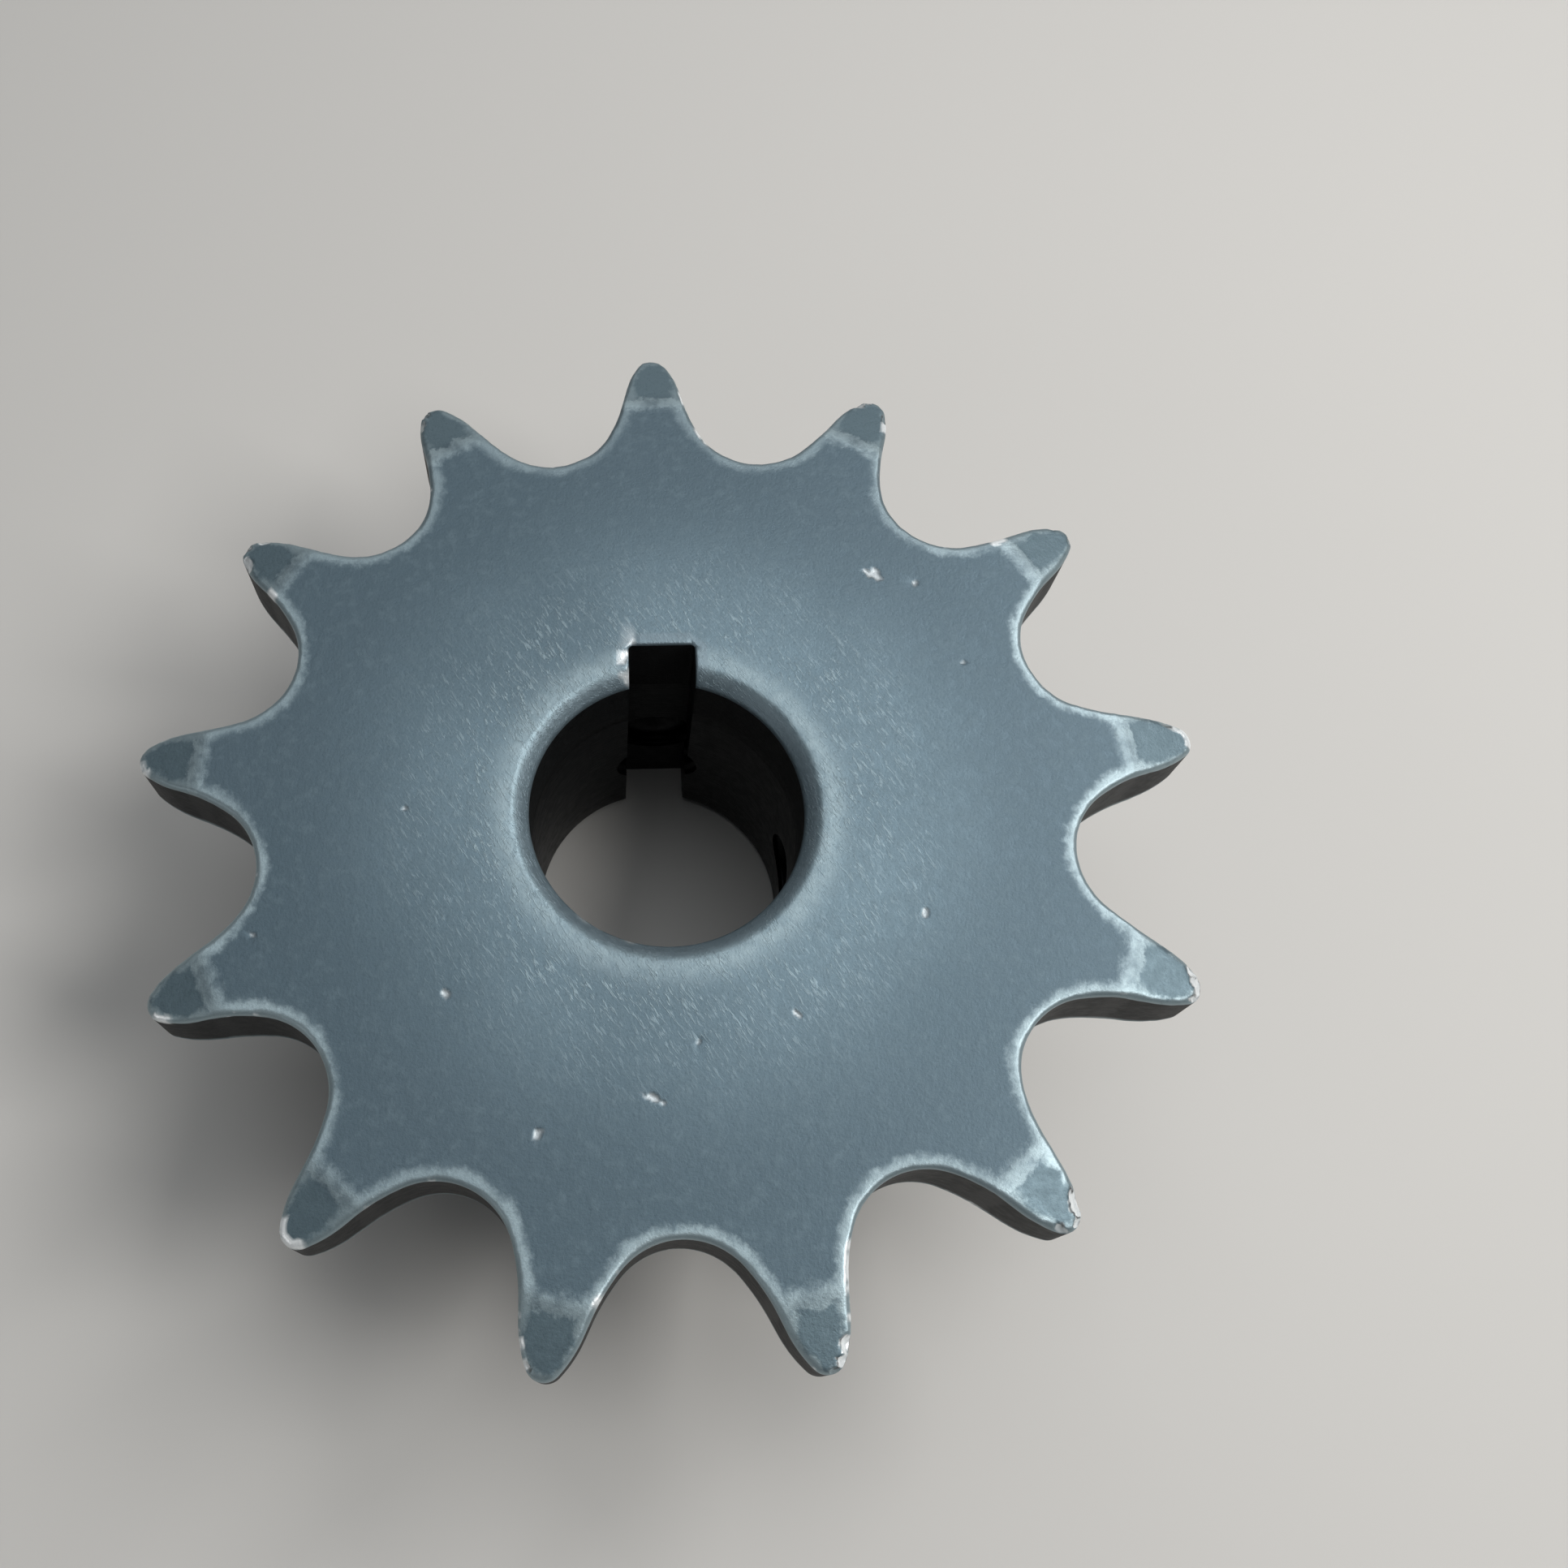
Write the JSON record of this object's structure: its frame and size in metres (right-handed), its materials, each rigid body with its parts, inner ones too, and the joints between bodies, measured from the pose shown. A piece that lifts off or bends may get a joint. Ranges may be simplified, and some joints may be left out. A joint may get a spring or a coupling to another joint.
{
  "type": "roller chain sprocket",
  "caption": "Small steel roller chain sprocket: flat toothed plate with a keyed, chamfered bore and a hub welded on one side, locked on its shaft by socket set screws in the hub.",
  "frame": {"origin": "on the bore axis, midway through the width of the teeth, which is the chain line", "axes": "+Z along the bore axis, out of the plate's flush face, with the hub on the -Z side; +Y from the bore axis through the middle of the keyway and of the tooth beyond it; +X towards the second set screw"},
  "size_m": [0.0732, 0.0726, 0.0254],
  "materials": {
    "plate_steel": "dull blue-grey, worn pale along the edges",
    "hub_steel": "dull blue-grey, turned",
    "weld_metal": "rippled weld, darkened by heat",
    "screw_steel": "black oxide with a trace of oil"
  },
  "bodies": {
    "sprocket": {"toothed_plate": "plate_steel", "hub": "hub_steel", "weld_bead": "weld_metal"},
    "key_screw": {"key_set_screw": "screw_steel"},
    "side_screw": {"side_set_screw": "screw_steel"}
  },
  "joints": [
    {"name": "key_screw_travel", "type": "slide", "parent": "sprocket", "child": "key_screw", "axis": [0, 1, 0], "range_m": [-0.0013, 0.005]},
    {"name": "side_screw_travel", "type": "slide", "parent": "sprocket", "child": "side_screw", "axis": [1, 0, 0], "range_m": [-0.00075, 0.0085]}
  ]
}
